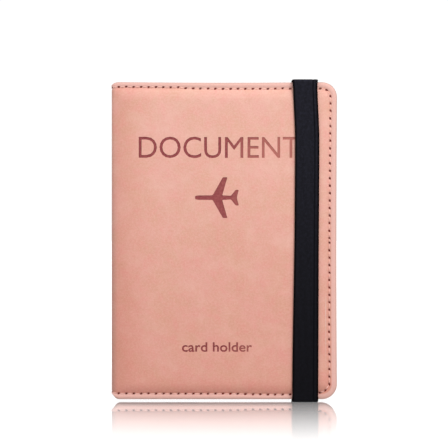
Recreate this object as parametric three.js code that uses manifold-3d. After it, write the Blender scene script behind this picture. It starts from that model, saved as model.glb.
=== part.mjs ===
// A closed passport holder: two padded leather covers joined by a soft spine, pockets inside, and
// an elastic strap that passes round the top and bottom edges and holds the front cover shut.
//
// Units are millimetres. +X runs from the spine to the fore edge, +Y from the front cover to the
// back cover, +Z up the holder's height. The origin is the bottom centre of the closed holder's
// box, strap included.
//
// Each cover is a stack of plies. Counted outwards from the lining's inner face they are lining,
// board, foam and leather. The leather is a shallow tray: its rim lies on the lining and is sewn to
// it, and its raised middle covers the foam and the board. At the two folds the leather and lining
// bend about the lining's inner face, so the fold axes lie on that face.

import * as THREE from "three";
import { mergeVertices } from "three/addons/utils/BufferGeometryUtils.js";
import Module from "manifold-3d";

const wasm = await Module();
wasm.setup();

// ---- Driving dimensions -----------------------------------------------------------------------

// Cover outline, seen from the front
const COVER_W = 103; // spine to fore edge, closed
const COVER_H = 145;
const CORNER_R = 7; // the two fore-edge corners
const CORNER_STEPS = 8; // facets in a quarter turn

// Ply thicknesses, and the hair of air between plies
const LINING_T = 0.4;
const BOARD_T = 0.7;
const FOAM_T = 0.55;
const LEATHER_T = 0.7;
const PLY_GAP = 0.05;

// Sewn edge
const RIM_W = 4.2; // leather lying flat on the lining, at the top, bottom and fore edge
const HINGE_RIM_W = 6.5; // the same beside the spine, where the cover has to bend
const RAISED_EDGE_R = 1.0; // rounding of the raised middle's outer edge
const SEAM_INSET = 2.6; // edge of the cover to the middle of the stitch line
const THREAD_W = 0.6;
const THREAD_T = 0.3;
const GROOVE_W = 1.0; // the stitch line sinks into a groove
const GROOVE_T = 0.4;
const SIDE_GAP = 0.3; // between pieces that lie side by side

// Pockets on the front cover's inner side: a full-height ticket pocket, with the others sewn onto
// its face
const POCKET_PLY_T = 0.35;
const POCKET_SLOT_T = 0.5;
const POCKET_FROM_FOLD = 7; // fold to the pockets' spine-side edge
const CARD_POCKET_TOPS = [82, 68, 54]; // each mouth above the cover's bottom edge, rear one first
const CARD_POCKET_HEM_W = 2.2; // sewn margin beside the spine
const SIM_POCKET = { fromFold: 34, width: 34, bottom: 98, height: 24, hem: 1.6 };

// Pocket on the back cover's inner side, open towards the spine
const PASSPORT_PLY_T = 0.45;
const PASSPORT_SLOT_T = 1.1;
const PASSPORT_POCKET_W = 64; // fore edge to mouth

// Clear space between the two sets of pockets, for the passport's pages
const BAY_T = 4.2;

// Elastic strap
const STRAP_W = 12;
const STRAP_T = 1.0;
const STRAP_FROM_FORE_EDGE = 14.7; // to the strap's middle line
const STRAP_EDGE_GAP = 0.2; // strap to the cover's top and bottom edges
const STRAP_FACE_GAP = 0.1; // strap to the front cover's face
const STRAP_END_DEPTH = 8; // how far each sewn end reaches in from the edge

// Modelling allowances
const BEVEL_STEPS = 3; // facets in the raised middle's rounded edge
const SMALLEST_R = 0.5; // a drawn-in corner is never sharper than this
const MERGE_DISTANCE = 1e-4; // corners closer than this are one
const CUT_PAST = 1; // how far a cutting shape runs past the face that it opens

// ---- Places worked out from them --------------------------------------------------------------

const RIM_T = LINING_T + PLY_GAP + LEATHER_T;
const COVER_T = LINING_T + BOARD_T + FOAM_T + LEATHER_T + 3 * PLY_GAP;
const THREAD_INNER = RIM_T - GROOVE_T + PLY_GAP; // inner face of the thread in its groove
const POCKET_PITCH = POCKET_SLOT_T + POCKET_PLY_T + PLY_GAP;
const FRONT_POCKETS_T = (1 + CARD_POCKET_TOPS.length) * POCKET_PITCH;
const BACK_POCKET_T = PASSPORT_SLOT_T + PASSPORT_PLY_T + PLY_GAP;
const INNER_T = FRONT_POCKETS_T + BAY_T + BACK_POCKET_T;
const BOX_T = 2 * COVER_T + INNER_T + STRAP_FACE_GAP + STRAP_T;

const BACK_INNER_Y = BOX_T / 2 - COVER_T;
const FRONT_INNER_Y = BACK_INNER_Y - INNER_T;
const FRONT_OUTER_Y = FRONT_INNER_Y - COVER_T;

const SPINE_X = -COVER_W / 2;
const FORE_X = COVER_W / 2;
const FOLD_X = SPINE_X + RIM_T; // both fold axes stand on this line

const BOTTOM_Z = STRAP_T + STRAP_EDGE_GAP;
const TOP_Z = BOTTOM_Z + COVER_H;
const STRAP_TOP_Z = TOP_Z + STRAP_EDGE_GAP + STRAP_T;
const STRAP_X = FORE_X - STRAP_FROM_FORE_EDGE;

// A cover's inner face and the direction that leads outwards from it
const FRONT = { innerY: FRONT_INNER_Y, out: -1 };
const BACK = { innerY: BACK_INNER_Y, out: 1 };

// ---- Materials --------------------------------------------------------------------------------

const material = (color, roughness) =>
  new THREE.MeshStandardMaterial({ color, roughness, metalness: 0 });
const LEATHER = material(0xe6ad9c, 0.75);
const LINING = material(0xd9a08f, 0.8);
const THREAD = material(0xeebbab, 0.7);
const ELASTIC = material(0x1c1c20, 0.9);
const FOAM = material(0xf1efe8, 0.95);
const BOARD = material(0xb9a98c, 0.9);

// ---- Shape helpers ----------------------------------------------------------------------------

// A rectangle in the X-Z plane whose fore-edge corners are rounded. A radius of 0 leaves a corner
// square.
function outline({ x0, x1, z0, z1, topR = 0, bottomR = 0 }) {
  const shape = new THREE.Shape();
  shape.moveTo(x0, z0);
  shape.lineTo(x1 - bottomR, z0);
  if (bottomR > 0) shape.absarc(x1 - bottomR, z0 + bottomR, bottomR, -Math.PI / 2, 0, false);
  shape.lineTo(x1, z1 - topR);
  if (topR > 0) shape.absarc(x1 - topR, z1 - topR, topR, 0, Math.PI / 2, false);
  shape.lineTo(x0, z1);
  shape.closePath();
  return shape;
}

// The cover's outline, drawn in by an inset that may differ beside the spine.
function coverOutline(inset, hingeInset = inset) {
  const r = Math.max(CORNER_R - inset, SMALLEST_R);
  return outline({
    x0: FOLD_X + hingeInset,
    x1: FORE_X - inset,
    z0: BOTTOM_Z + inset,
    z1: TOP_Z - inset,
    topR: r,
    bottomR: r,
  });
}

// A strip of some width that follows the cover's top, fore edge and bottom, open towards the spine.
function seamOutline(width) {
  const x0 = FOLD_X + SIDE_GAP;
  const shape = new THREE.Shape();
  const side = (inset, backwards) => {
    const r = CORNER_R - inset;
    const cx = FORE_X - CORNER_R;
    const bottom = BOTTOM_Z + CORNER_R;
    const top = TOP_Z - CORNER_R;
    if (backwards) {
      shape.lineTo(x0, top + r);
      shape.lineTo(cx, top + r);
      shape.absarc(cx, top, r, Math.PI / 2, 0, true);
      shape.lineTo(cx + r, bottom);
      shape.absarc(cx, bottom, r, 0, -Math.PI / 2, true);
      shape.lineTo(x0, bottom - r);
    } else {
      shape.moveTo(x0, bottom - r);
      shape.lineTo(cx, bottom - r);
      shape.absarc(cx, bottom, r, -Math.PI / 2, 0, false);
      shape.lineTo(cx + r, top);
      shape.absarc(cx, top, r, 0, Math.PI / 2, false);
      shape.lineTo(x0, top + r);
    }
  };
  side(SEAM_INSET - width / 2, false);
  side(SEAM_INSET + width / 2, true);
  return shape;
}

// An outline in the X-Z plane made into a slab between two values of Y, in either order.
function slab(shape, yA, yB) {
  const geometry = new THREE.ExtrudeGeometry(shape, {
    depth: Math.abs(yB - yA),
    bevelEnabled: false,
    curveSegments: CORNER_STEPS,
  });
  return geometry.rotateX(Math.PI / 2).translate(0, Math.max(yA, yB), 0);
}

// A block between two opposite corners.
function block(x0, x1, y0, y1, z0, z1) {
  const geometry = new THREE.BoxGeometry(x1 - x0, Math.abs(y1 - y0), z1 - z0);
  return geometry.translate((x0 + x1) / 2, (y0 + y1) / 2, (z0 + z1) / 2);
}

function toSolid(geometry) {
  const bare = geometry.clone();
  bare.deleteAttribute("normal");
  bare.deleteAttribute("uv");
  const merged = mergeVertices(bare, MERGE_DISTANCE);
  return new wasm.Manifold(
    new wasm.Mesh({
      numProp: 3,
      vertProperties: new Float32Array(merged.attributes.position.array),
      triVerts: new Uint32Array(merged.index.array),
    }),
  );
}

function toGeometry(solid) {
  const mesh = solid.getMesh();
  const geometry = new THREE.BufferGeometry();
  const positions = new Float32Array(mesh.vertProperties);
  geometry.setAttribute("position", new THREE.BufferAttribute(positions, 3));
  geometry.setIndex(new THREE.BufferAttribute(new Uint32Array(mesh.triVerts), 1));
  const flat = geometry.toNonIndexed();
  flat.computeVertexNormals();
  return flat;
}

const join = (...geometries) => toGeometry(geometries.map(toSolid).reduce((a, b) => a.add(b)));
const cut = (body, ...tools) =>
  toGeometry(tools.map(toSolid).reduce((a, b) => a.subtract(b), toSolid(body)));
const common = (a, b) => toGeometry(toSolid(a).intersect(toSolid(b)));

const holder = new THREE.Group();

function addNode(name, geometry, look) {
  const mesh = new THREE.Mesh(geometry, look);
  mesh.name = name;
  holder.add(mesh);
}

// ---- Covers -----------------------------------------------------------------------------------

// Y of a level in a cover, counted outwards from its lining's inner face. Negative levels lie
// inside the holder.
const level = (cover, distance) => cover.innerY + cover.out * distance;

// The leather: a rim on the lining, a raised middle with a rounded edge, the hollow that the foam
// and board fill, and the groove that the stitches lie in.
function leatherTray(cover) {
  const rimInner = LINING_T + PLY_GAP;
  const rim = slab(coverOutline(0, SIDE_GAP), level(cover, rimInner), level(cover, RIM_T));
  const raised = new THREE.ExtrudeGeometry(coverOutline(RIM_W, HINGE_RIM_W), {
    depth: COVER_T,
    bevelThickness: RAISED_EDGE_R,
    bevelSize: RAISED_EDGE_R,
    bevelOffset: -RAISED_EDGE_R,
    bevelSegments: BEVEL_STEPS,
    curveSegments: CORNER_STEPS,
  });
  const farFace = cover.out > 0 ? level(cover, COVER_T) : level(cover, 0);
  raised.rotateX(Math.PI / 2).translate(0, farFace - cover.out * RAISED_EDGE_R, 0);
  const outside = slab(coverOutline(0, SIDE_GAP), level(cover, rimInner), level(cover, COVER_T));
  const hollow = slab(
    coverOutline(RIM_W + LEATHER_T, HINGE_RIM_W + LEATHER_T),
    level(cover, 0),
    level(cover, COVER_T - LEATHER_T),
  );
  const groove = slab(seamOutline(GROOVE_W), level(cover, RIM_T - GROOVE_T), level(cover, COVER_T));
  return cut(join(rim, common(raised, outside)), hollow, groove);
}

function addCover(name, cover) {
  const fillInset = RIM_W + LEATHER_T + SIDE_GAP;
  const fillHinge = HINGE_RIM_W + LEATHER_T + SIDE_GAP;
  const boardInner = LINING_T + PLY_GAP;
  const foamInner = boardInner + BOARD_T + PLY_GAP;
  const ply = (inner, thickness) =>
    slab(coverOutline(fillInset, fillHinge), level(cover, inner), level(cover, inner + thickness));

  addNode(name + "_leather", leatherTray(cover), LEATHER);
  addNode(name + "_foam", ply(foamInner, FOAM_T), FOAM);
  addNode(name + "_board", ply(boardInner, BOARD_T), BOARD);
  const lining = slab(coverOutline(0, SIDE_GAP), level(cover, 0), level(cover, LINING_T));
  addNode(name + "_lining", lining, LINING);
  const thread = slab(
    seamOutline(THREAD_W),
    level(cover, THREAD_INNER),
    level(cover, THREAD_INNER + THREAD_T),
  );
  addNode(name + "_seam_thread", thread, THREAD);
}

// ---- Spine ------------------------------------------------------------------------------------

// A strip of the spine between two distances outwards from its inner face.
function spineStrip(inner, outer, z0, z1) {
  const y0 = FRONT_INNER_Y + SIDE_GAP;
  const y1 = BACK_INNER_Y - SIDE_GAP;
  return block(FOLD_X - outer, FOLD_X - inner, y0, y1, z0, z1);
}

// The quarter turn of leather that wraps one fold, from the cover's rim round to the spine.
function foldStrip(cover) {
  const inner = LINING_T + PLY_GAP;
  const towardsCover = (cover.out * Math.PI) / 2;
  const towardsSpine = cover.out * Math.PI;
  const clockwise = cover.out < 0;
  const shape = new THREE.Shape();
  shape.absarc(0, 0, RIM_T, towardsCover, towardsSpine, clockwise);
  shape.absarc(0, 0, inner, towardsSpine, towardsCover, !clockwise);
  shape.closePath();
  const geometry = new THREE.ExtrudeGeometry(shape, {
    depth: COVER_H,
    bevelEnabled: false,
    curveSegments: CORNER_STEPS,
  });
  return geometry.translate(FOLD_X, cover.innerY, BOTTOM_Z);
}

function addSpine() {
  const seams = { spine_bottom_thread: BOTTOM_Z + SEAM_INSET, spine_top_thread: TOP_Z - SEAM_INSET };
  const grooves = Object.values(seams).map((z) =>
    spineStrip(RIM_T - GROOVE_T, RIM_T + CUT_PAST, z - GROOVE_W / 2, z + GROOVE_W / 2),
  );
  const strip = spineStrip(LINING_T + PLY_GAP, RIM_T, BOTTOM_Z, TOP_Z);
  addNode("spine_leather", cut(strip, ...grooves), LEATHER);
  addNode("spine_lining", spineStrip(0, LINING_T, BOTTOM_Z, TOP_Z), LINING);
  for (const [name, z] of Object.entries(seams)) {
    const half = THREAD_W / 2;
    addNode(name, spineStrip(THREAD_INNER, THREAD_INNER + THREAD_T, z - half, z + half), THREAD);
  }
  addNode("front_fold_leather", foldStrip(FRONT), LEATHER);
  addNode("rear_fold_leather", foldStrip(BACK), LEATHER);
}

// ---- Pockets ----------------------------------------------------------------------------------

// A pocket: a sheet held off what is behind it by its sewn margins, so that a slot is left there.
// The room is the part of the outline that is left open, and the base is the pocket's distance
// from the lining.
function pocket(cover, shape, room, base, slotT, plyT) {
  const body = slab(shape, level(cover, -base), level(cover, -(base + slotT + plyT)));
  const slot = slab(room, level(cover, CUT_PAST - base), level(cover, -(base + slotT)));
  return cut(body, slot);
}

// A pocket as tall as the cover, sewn along its top, fore edge and bottom, and open towards the
// spine.
function tallPocket(cover, x0, slotT, plyT) {
  const corner = (r) => ({ topR: r, bottomR: r });
  const shape = outline({ x0, x1: FORE_X, z0: BOTTOM_Z, z1: TOP_Z, ...corner(CORNER_R) });
  const room = outline({
    x0: x0 - CUT_PAST,
    x1: FORE_X - RIM_W,
    z0: BOTTOM_Z + RIM_W,
    z1: TOP_Z - RIM_W,
    ...corner(CORNER_R - RIM_W),
  });
  return pocket(cover, shape, room, PLY_GAP, slotT, plyT);
}

function addTicketPocket() {
  const x0 = FOLD_X + POCKET_FROM_FOLD;
  addNode("ticket_pocket", tallPocket(FRONT, x0, POCKET_SLOT_T, POCKET_PLY_T), LINING);
}

// Three card pockets, each lying on the one behind it and a step lower, open at the top.
function addCardPockets() {
  const x0 = FOLD_X + POCKET_FROM_FOLD;
  ["card_pocket_rear", "card_pocket_middle", "card_pocket_front"].forEach((name, i) => {
    const z1 = BOTTOM_Z + CARD_POCKET_TOPS[i];
    const shape = outline({ x0, x1: FORE_X, z0: BOTTOM_Z, z1, bottomR: CORNER_R });
    const room = outline({
      x0: x0 + CARD_POCKET_HEM_W,
      x1: FORE_X - RIM_W,
      z0: BOTTOM_Z + RIM_W,
      z1: z1 + CUT_PAST,
      bottomR: CORNER_R - RIM_W,
    });
    const base = PLY_GAP + (1 + i) * POCKET_PITCH;
    addNode(name, pocket(FRONT, shape, room, base, POCKET_SLOT_T, POCKET_PLY_T), LINING);
  });
}

function addSimPocket() {
  const x0 = FOLD_X + SIM_POCKET.fromFold;
  const z0 = BOTTOM_Z + SIM_POCKET.bottom;
  const x1 = x0 + SIM_POCKET.width;
  const z1 = z0 + SIM_POCKET.height;
  const hem = SIM_POCKET.hem;
  const shape = outline({ x0, x1, z0, z1 });
  const room = outline({ x0: x0 + hem, x1: x1 - hem, z0: z0 + hem, z1: z1 + CUT_PAST });
  const base = PLY_GAP + POCKET_PITCH;
  addNode("sim_pocket", pocket(FRONT, shape, room, base, POCKET_SLOT_T, POCKET_PLY_T), LINING);
}

// The passport pocket. Its top and bottom margins leave a gap each for the strap's sewn ends.
function addPassportPocket() {
  const strapGap = block(
    STRAP_X - STRAP_W / 2 - SIDE_GAP,
    STRAP_X + STRAP_W / 2 + SIDE_GAP,
    level(BACK, 0),
    level(BACK, -(PLY_GAP + PASSPORT_SLOT_T)),
    BOTTOM_Z - CUT_PAST,
    TOP_Z + CUT_PAST,
  );
  const body = tallPocket(BACK, FORE_X - PASSPORT_POCKET_W, PASSPORT_SLOT_T, PASSPORT_PLY_T);
  addNode("passport_pocket", cut(body, strapGap), LINING);
}

// ---- Elastic strap ----------------------------------------------------------------------------

// One band, in the pieces that move apart: two sewn ends that stay on the back cover, and the run
// down the front with its two returns over the edges.
function addStrap() {
  const x0 = STRAP_X - STRAP_W / 2;
  const x1 = STRAP_X + STRAP_W / 2;
  const frontY = FRONT_OUTER_Y - STRAP_FACE_GAP - STRAP_T;
  const endBackY = level(BACK, -PLY_GAP - (PASSPORT_SLOT_T - STRAP_T) / 2);
  const endFrontY = endBackY - STRAP_T;
  addNode("strap_front", block(x0, x1, frontY, frontY + STRAP_T, 0, STRAP_TOP_Z), ELASTIC);
  for (const [side, outerZ, innerZ, reachZ] of [
    ["top", STRAP_TOP_Z, STRAP_TOP_Z - STRAP_T, TOP_Z - STRAP_END_DEPTH],
    ["bottom", 0, STRAP_T, BOTTOM_Z + STRAP_END_DEPTH],
  ]) {
    const span = (z) => [Math.min(outerZ, z), Math.max(outerZ, z)];
    const returnY = [frontY + STRAP_T + SIDE_GAP, endFrontY - SIDE_GAP];
    addNode(`strap_${side}_return`, block(x0, x1, ...returnY, ...span(innerZ)), ELASTIC);
    addNode(`strap_${side}_end`, block(x0, x1, endFrontY, endBackY, ...span(reachZ)), ELASTIC);
  }
}

addCover("front", FRONT);
addCover("back", BACK);
addSpine();
addTicketPocket();
addCardPockets();
addSimPocket();
addPassportPocket();
addStrap();

export default holder;
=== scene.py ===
"""The looks of a closed passport holder in soft pink leather with a black elastic strap.

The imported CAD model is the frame. Each cover is laid out flat, shaped there as a height above the
lining's inner face, and then wrapped round its fold. Flat places and heights are in millimetres;
Blender's are in metres.
"""

import math

import bmesh
import bpy
import numpy as np
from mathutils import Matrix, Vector
from mathutils.geometry import delaunay_2d_cdt


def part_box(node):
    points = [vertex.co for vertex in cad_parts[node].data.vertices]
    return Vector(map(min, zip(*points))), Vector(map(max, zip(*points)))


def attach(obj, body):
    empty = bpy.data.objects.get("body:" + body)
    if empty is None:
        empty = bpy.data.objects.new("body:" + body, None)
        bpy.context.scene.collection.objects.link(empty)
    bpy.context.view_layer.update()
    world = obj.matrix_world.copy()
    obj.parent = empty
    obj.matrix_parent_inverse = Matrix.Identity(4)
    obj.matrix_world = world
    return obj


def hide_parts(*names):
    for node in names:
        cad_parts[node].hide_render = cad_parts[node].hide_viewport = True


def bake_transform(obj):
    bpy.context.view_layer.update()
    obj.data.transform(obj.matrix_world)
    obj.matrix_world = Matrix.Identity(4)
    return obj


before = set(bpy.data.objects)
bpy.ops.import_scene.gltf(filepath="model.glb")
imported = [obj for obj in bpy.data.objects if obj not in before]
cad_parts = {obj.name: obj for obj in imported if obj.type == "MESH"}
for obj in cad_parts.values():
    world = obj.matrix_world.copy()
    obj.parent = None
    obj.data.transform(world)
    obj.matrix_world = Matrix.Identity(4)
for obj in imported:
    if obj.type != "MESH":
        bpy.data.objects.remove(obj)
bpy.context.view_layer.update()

MM = 0.001
RNG = np.random.default_rng(7)


# ---- Places, from the frame ----

def span(node):
    """A CAD node's lowest and highest corners, in millimetres."""
    low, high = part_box(node)
    return np.array(low) / MM, np.array(high) / MM


FOLD_X = span("spine_lining")[1][0]
FORE_X = span("front_leather")[1][0]
LOW_Z, HIGH_Z = span("front_leather")[0][2], span("front_leather")[1][2]
FRONT_Y = span("front_lining")[1][1]  # the linings' inner faces
BACK_Y = span("back_lining")[0][1]
COVER_T = FRONT_Y - span("front_leather")[0][1]
RIM_T = FOLD_X - span("spine_leather")[0][0]
LINING_T = FRONT_Y - span("front_lining")[0][1]

COVER_LEN = FORE_X - FOLD_X  # fold to fore edge
HALF_SPINE = (BACK_Y - FRONT_Y) / 2
CORNER_R = 7.0
SEAM_INSET = 2.6
STITCH_PITCH = 3.4
EDGE_BOW = 0.3  # how far a sewn cover's top and fore edges draw in at their middles

STRAP_LOW, STRAP_HIGH = span("strap_front")
STRAP_X = (STRAP_LOW[0] + STRAP_HIGH[0]) / 2
STRAP_W = STRAP_HIGH[0] - STRAP_LOW[0]
STRAP_T = STRAP_HIGH[1] - STRAP_LOW[1]
STRAP_MID_Z = (STRAP_LOW[2] + STRAP_HIGH[2]) / 2

OUT, IN = 1, -1  # the sign of a height outwards, and into the holder


class Cover:
    """A ply of a cover and its half of the spine, laid out flat.

    s is the distance from the fold towards the fore edge, negative round the fold and on the spine. z is
    the height in the row frame, and h the distance outwards from the lining's inner face. arc is the flat
    length of the quarter turn at the fold.
    """

    def __init__(self, name, body, inner_y, out, arc):
        self.name, self.body, self.inner_y, self.out, self.arc = name, body, inner_y, out, arc
        self.spine_s = -arc - HALF_SPINE  # where this half of the ply ends

    def place(self, s, z, h):
        """Points in the row frame, in metres."""
        s, z, h = np.broadcast_arrays(np.asarray(s, float), z, h)
        turn = np.clip(-s / self.arc, 0, 1) * math.pi / 2
        x = FOLD_X + np.maximum(s, 0) - h * np.sin(turn)
        y = self.inner_y + self.out * (h * np.cos(turn) - np.maximum(-s - self.arc, 0))
        from_spine = np.maximum(s, 0) + RIM_T * (1 - np.sin(turn))
        up, over = (z - LOW_Z) / (HIGH_Z - LOW_Z), np.maximum(s, 0) / COVER_LEN
        x = x - EDGE_BOW * np.sin(math.pi * up) * over**3
        z = z - EDGE_BOW * np.sin(math.pi * over) * up**3
        return np.stack([x, y, round_spine_ends(from_spine, z)], -1) * MM

    def hide(self, s):
        """The place along the hide that both covers are cut from in one piece."""
        return s if self.out < 0 else 2 * self.spine_s - s

    def bend(self, piece):
        """The piece's transform, baked into its mesh."""
        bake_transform(piece)


LEATHER_ARC = RIM_T * math.pi / 2
LINING_ARC = 0.6
FRONT = Cover("front", "front_cover", FRONT_Y, -1, LEATHER_ARC)
BACK = Cover("back", "back_cover", BACK_Y, 1, LEATHER_ARC)
FRONT_LINED = Cover("front", "front_cover", FRONT_Y, -1, LINING_ARC)
BACK_LINED = Cover("back", "back_cover", BACK_Y, 1, LINING_ARC)


def round_spine_ends(from_spine, z):
    """z with the ends of the spine drawn in, so that the two corners beside it are rounded."""
    width, height = 3.2, 6.0  # of the part that is drawn in
    beside = np.clip(1 - from_spine / width, 0, 1) ** 2
    for edge, depth, way in ((LOW_Z, 2.6, 1), (HIGH_Z, 0.95, -1)):
        near = np.clip(1 - way * (z - edge) / height, 0, 1) ** 2
        z = z + way * depth * beside * near
    return z


def inset_in(s, z, sides, top_r=0.0, bottom_r=0.0):
    """Distance in from the nearest side of a box whose fore-edge corners may be rounded. The sides are
    s0, s1, z0 and z1, and one that doesn't count is at infinity."""
    s0, s1, z0, z1 = sides
    found = np.minimum(np.minimum(s - s0, s1 - s), np.minimum(z - z0, z1 - z))
    for radius, edge, way in ((bottom_r, z0, 1), (top_r, z1, -1)):
        if radius:
            ds, dz = s - (s1 - radius), radius - way * (z - edge)
            found = np.where((ds > 0) & (dz > 0), radius - np.hypot(ds, dz), found)
    return found


def edge_distance(s, z):
    """Distance in from the cover's top, fore or bottom edge, whichever is nearest."""
    return inset_in(s, z, (-np.inf, COVER_LEN, LOW_Z, HIGH_Z), CORNER_R, CORNER_R)


def smooth(t):
    """A smooth step from 0 at t = 0 to 1 at t = 1."""
    t = np.clip(t, 0, 1)
    return t * t * (3 - 2 * t)


def seam_drift(s, z):
    """How much further in than its inset the seam runs: more down the fore edge and along the top, and less
    along the bottom past its middle."""
    down = np.clip((HIGH_Z - z) / (HIGH_Z - LOW_Z), 0, 1)
    fore = (0.43 + 0.85 * down) * smooth((s - COVER_LEN + 13) / 10)
    before_corner = smooth((COVER_LEN - 4 - s) / 8)
    top = 0.25 * smooth((z - HIGH_Z + 8) / 4) * smooth((s - 25) / 30)
    bottom = 0.4 * smooth((LOW_Z + 8 - z) / 4) * smooth((s - 48) / 24)
    return fore + (top - bottom) * before_corner


# ---- Flat outlines ----

def resample(points, step, closed=False):
    """Points along a polyline, at most a step apart, with its corners kept."""
    points = np.asarray(points, float)
    ends = np.roll(points, -1, axis=0) if closed else points[1:]
    found = []
    for a, b in zip(points, ends):
        count = max(1, math.ceil(np.linalg.norm(b - a) / step))
        found += [a + (b - a) * k / count for k in range(count)]
    if not closed:
        found.append(points[-1])
    return np.array(found)


def arc(cs, cz, radius, start, stop, step):
    """Points along an arc about (cs, cz), at most a step apart."""
    count = max(2, math.ceil(abs(stop - start) * radius / step))
    turn = np.linspace(start, stop, count + 1)
    return np.stack([cs + radius * np.cos(turn), cz + radius * np.sin(turn)], -1)


def rim(inset, step, s0):
    """A path at an inset from the edge: from s0 along the top, down the fore edge and back along the
    bottom."""
    r = max(CORNER_R - inset, 0.2)
    cs = COVER_LEN - CORNER_R
    half = math.pi / 2
    upper = arc(cs, HIGH_Z - CORNER_R, r, half, 0, step)
    lower = arc(cs, LOW_Z + CORNER_R, r, 0, -half, step)
    path = np.concatenate([[[s0, HIGH_Z - inset]], upper, lower, [[s0, LOW_Z + inset]]])
    return resample(path, step)


def half_outline(inset, s0, step):
    """The outline of one cover and its half of the spine, clockwise from the spine's bottom end."""
    spine = resample([[s0, HIGH_Z - inset], [s0, LOW_Z + inset]], step)[1:-1]
    return np.concatenate([rim(inset, step, s0)[::-1], spine])


def box_outline(s0, s1, z0, z1, step, top_r=0.0, bottom_r=0.0):
    """A rectangle whose fore-edge corners may be rounded, anticlockwise."""
    half = math.pi / 2
    lower = arc(s1 - bottom_r, z0 + bottom_r, bottom_r, -half, 0, step) if bottom_r else [[s1, z0]]
    upper = arc(s1 - top_r, z1 - top_r, top_r, 0, half, step) if top_r else [[s1, z1]]
    return resample(np.concatenate([[[s0, z0]], lower, upper, [[s0, z1]]]), step, closed=True)


def grid(s0, s1, z0, z1, step):
    """Points a step apart over a rectangle."""
    s, z = np.meshgrid(np.arange(s0, s1 + step / 2, step), np.arange(z0, z1 + step / 2, step))
    return np.stack([s.ravel(), z.ravel()], -1)


def distance_to(points, loops):
    """Each point's distance to the nearest side of any loop."""
    best = np.full(len(points), np.inf)
    for loop in loops:
        a, b = loop, np.roll(loop, -1, axis=0)
        d = b - a
        rel = points[:, None] - a[None]
        t = np.clip((rel * d).sum(-1) / np.maximum((d * d).sum(-1), 1e-12), 0, 1)
        best = np.minimum(best, np.linalg.norm(rel - t[..., None] * d, axis=-1).min(1))
    return best


def signed_area(loop):
    """A loop's area, which is positive if it runs anticlockwise."""
    a, b = loop, np.roll(loop, -1, axis=0)
    return (a[:, 0] * b[:, 1] - b[:, 0] * a[:, 1]).sum() / 2


# ---- Mesh building ----

def triangulate(outline, loops, points):
    """Triangles over an outline: (points, triangles, the set of loops that each triangle lies in)."""
    rings = [outline] + [loop if signed_area(loop) > 0 else loop[::-1] for loop in loops]
    coords, faces = [], []
    for ring in rings:
        faces.append(list(range(len(coords), len(coords) + len(ring))))
        coords += [Vector(p) for p in ring]
    coords += [Vector(p) for p in points]
    verts, _, tris, _, _, origin = delaunay_2d_cdt(coords, [], faces, 1, 1e-6, True)
    inside = [{f - 1 for f in found if f > 0} for found in origin]
    return np.array([tuple(v) for v in verts]), [tuple(t) for t in tris], inside


def in_scene(name, data):
    """A new object in the scene."""
    made = bpy.data.objects.new(name, data)
    bpy.context.scene.collection.objects.link(made)
    return made


def new_object(name, bm, materials):
    """An object made of a mesh being built, smooth but for its sharp edges."""
    bmesh.ops.recalc_face_normals(bm, faces=bm.faces)
    mesh = bpy.data.meshes.new(name)
    bm.to_mesh(mesh)
    bm.free()
    for material in materials:
        mesh.materials.append(material)
    mesh.shade_smooth()
    mesh.set_sharp_from_angle(angle=math.radians(42))
    return in_scene(name, mesh)


def plate(name, place, outline, points, outer, inner, materials, hide, loops=(), cuts=(), inner_points=None):
    """A closed sheet between two heights over an outline, each a function of s and z.

    hide maps s to the place along the hide that the sheet was cut from, for the materials. cuts are (the
    numbers of some loops, whether loops in loops are holes, width, depth, material): the outer face inside
    those loops is sunk to the depth, with walls of that width.
    """
    bm = bmesh.new()
    tint = bm.verts.layers.float.new("edge")
    laid = bm.verts.layers.float_vector.new("laid")

    def side(height, loops, points):
        flat, tris, inside = triangulate(outline, loops, points)
        found = place(flat[:, 0], flat[:, 1], height(flat[:, 0], flat[:, 1]))
        verts = [bm.verts.new(p) for p in found]
        for vert, (s, z), d in zip(verts, flat, edge_distance(flat[:, 0], flat[:, 1])):
            vert[tint], vert[laid] = d, (hide(s), z - LOW_Z, 0)
        return verts, [bm.faces.new([verts[i] for i in tri]) for tri in tris], inside

    top, top_faces, inside = side(outer, loops, points)
    bottom, bottom_faces, _ = side(inner, (), points if inner_points is None else inner_points)
    for face in bottom_faces:
        face.normal_flip()
    count = len(outline)
    for i in range(count):
        j = (i + 1) % count
        bm.faces.new([top[j], top[i], bottom[i], bottom[j]])
    bmesh.ops.recalc_face_normals(bm, faces=bm.faces)
    for numbers, by_turns, width, depth, material in cuts:
        numbers = set(numbers)
        chosen = []
        for face, held in zip(top_faces, inside):
            hits = len(held & numbers)
            if hits % 2 == 1 if by_turns else hits > 0:
                chosen.append(face)
        walls = bmesh.ops.inset_region(
            bm, faces=chosen, thickness=width * MM, depth=-depth * MM,
            use_even_offset=True, use_boundary=True,
        )
        for face in chosen + walls["faces"]:
            face.material_index = material
    lay_flat(bm, laid)
    return new_object(name, bm, materials)


def lay_flat(bm, laid):
    """A UV map of the vertices' flat places, in millimetres, so that a pattern stays on the hide."""
    uv = bm.loops.layers.uv.new("flat")
    for face in bm.faces:
        for loop in face.loops:
            loop[uv].uv = loop.vert[laid].xy


# ---- Materials ----

def rgb(r, g, b):
    """Linear colour of an sRGB colour given from 0 to 255."""
    linear = [(c / 255 / 12.92) if c <= 10 else ((c / 255 + 0.055) / 1.055) ** 2.4 for c in (r, g, b)]
    return (*linear, 1.0)


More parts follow.
